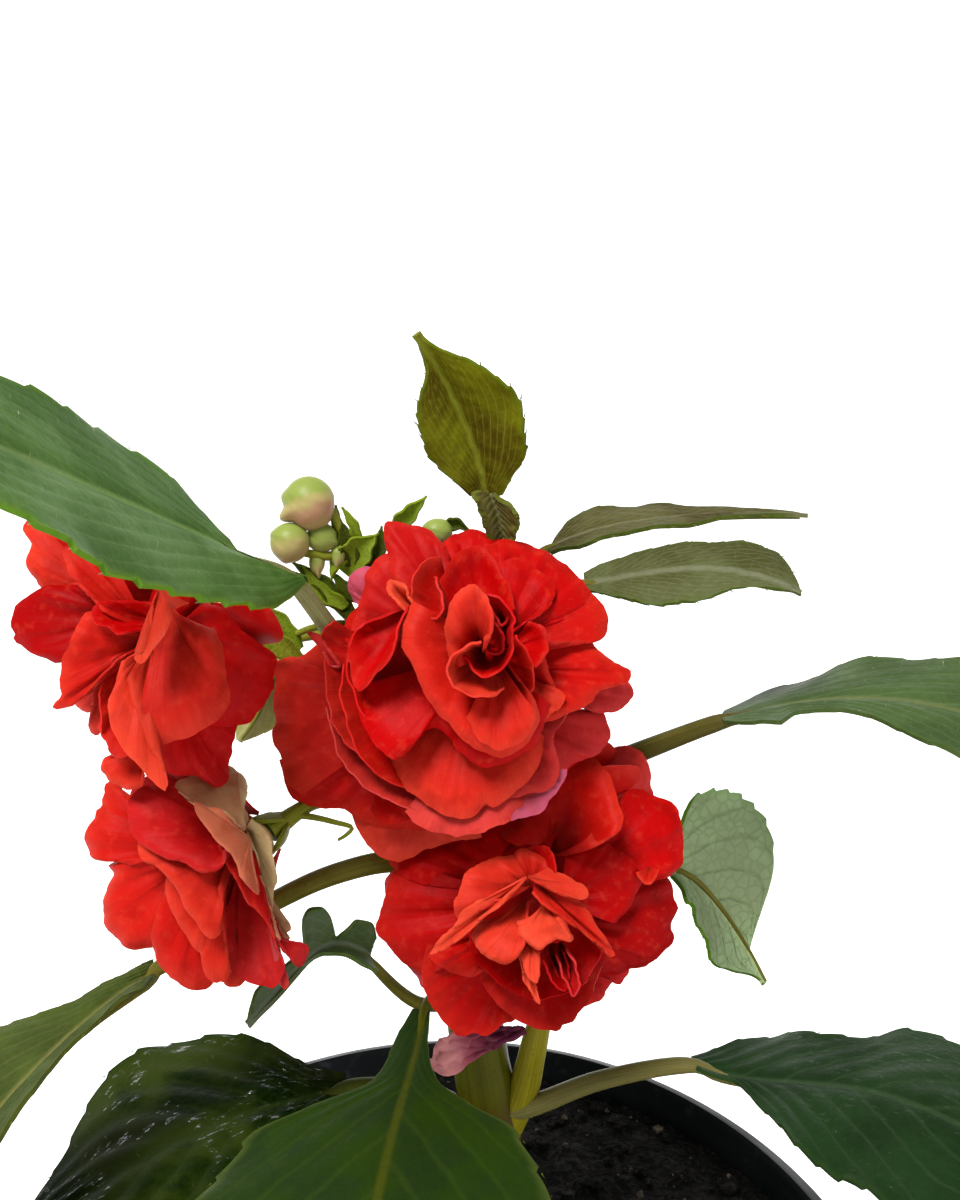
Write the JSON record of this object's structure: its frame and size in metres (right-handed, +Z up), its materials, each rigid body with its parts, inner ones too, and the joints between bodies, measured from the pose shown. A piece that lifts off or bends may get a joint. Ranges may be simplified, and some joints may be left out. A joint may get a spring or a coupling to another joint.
{
  "type": "potted double-flowered impatiens",
  "caption": "Round plastic nursery pot of soil holding a young busy lizzie with rose-like double blooms, round buds, toothed leaves and a fleshy forked stem.",
  "frame": {"origin": "centre of the pot's flat base, on the face that it stands on", "axes": "+Z up along the pot's axis, +X to the plant's right and +Y to its back as it faces the viewer"},
  "size_m": [0.1453, 0.13, 0.2378],
  "materials": {
    "pot": "satin black moulded plastic",
    "soil": "rough damp potting soil with pale grit",
    "stem": "smooth fleshy stem, satin",
    "leaf": "satin leaf with pale veins",
    "young_leaf": "satin young leaf with a brown tint",
    "dark_leaf": "wet glossy dark leaf",
    "pale_leaf": "matte grey-green leaf underside",
    "petal": "soft velvety petal",
    "spent_petal": "soft faded petal",
    "bud": "smooth waxy bud"
  },
  "bodies": {
    "root": {"pot": "pot", "soil": "soil", "main_stem": "stem", "leaf_upper_left": "leaf", "leaf_right": "leaf", "leaf_top": "young_leaf", "leaf_tip": "young_leaf", "leaf_right_high": "young_leaf", "leaf_right_middle": "young_leaf", "leaf_pale": "pale_leaf", "leaf_lower_right": "dark_leaf", "leaf_front": "leaf", "leaf_lower_left": "dark_leaf", "leaf_left": "leaf", "leaf_curled": "leaf", "leaf_behind_left": "pale_leaf", "leaf_back_high": "leaf", "leaf_back_middle": "leaf", "leaf_back_low": "dark_leaf", "bloom_centre": "petal", "stalk_centre": "stem", "bloom_low": "petal", "stalk_low": "stem", "bloom_left": "petal", "stalk_left": "stem", "bloom_side": "petal", "stalk_side": "stem", "bud_spray_left": "bud", "bud_spray_middle": "bud", "spent_petal": "spent_petal"}
  },
  "joints": []
}
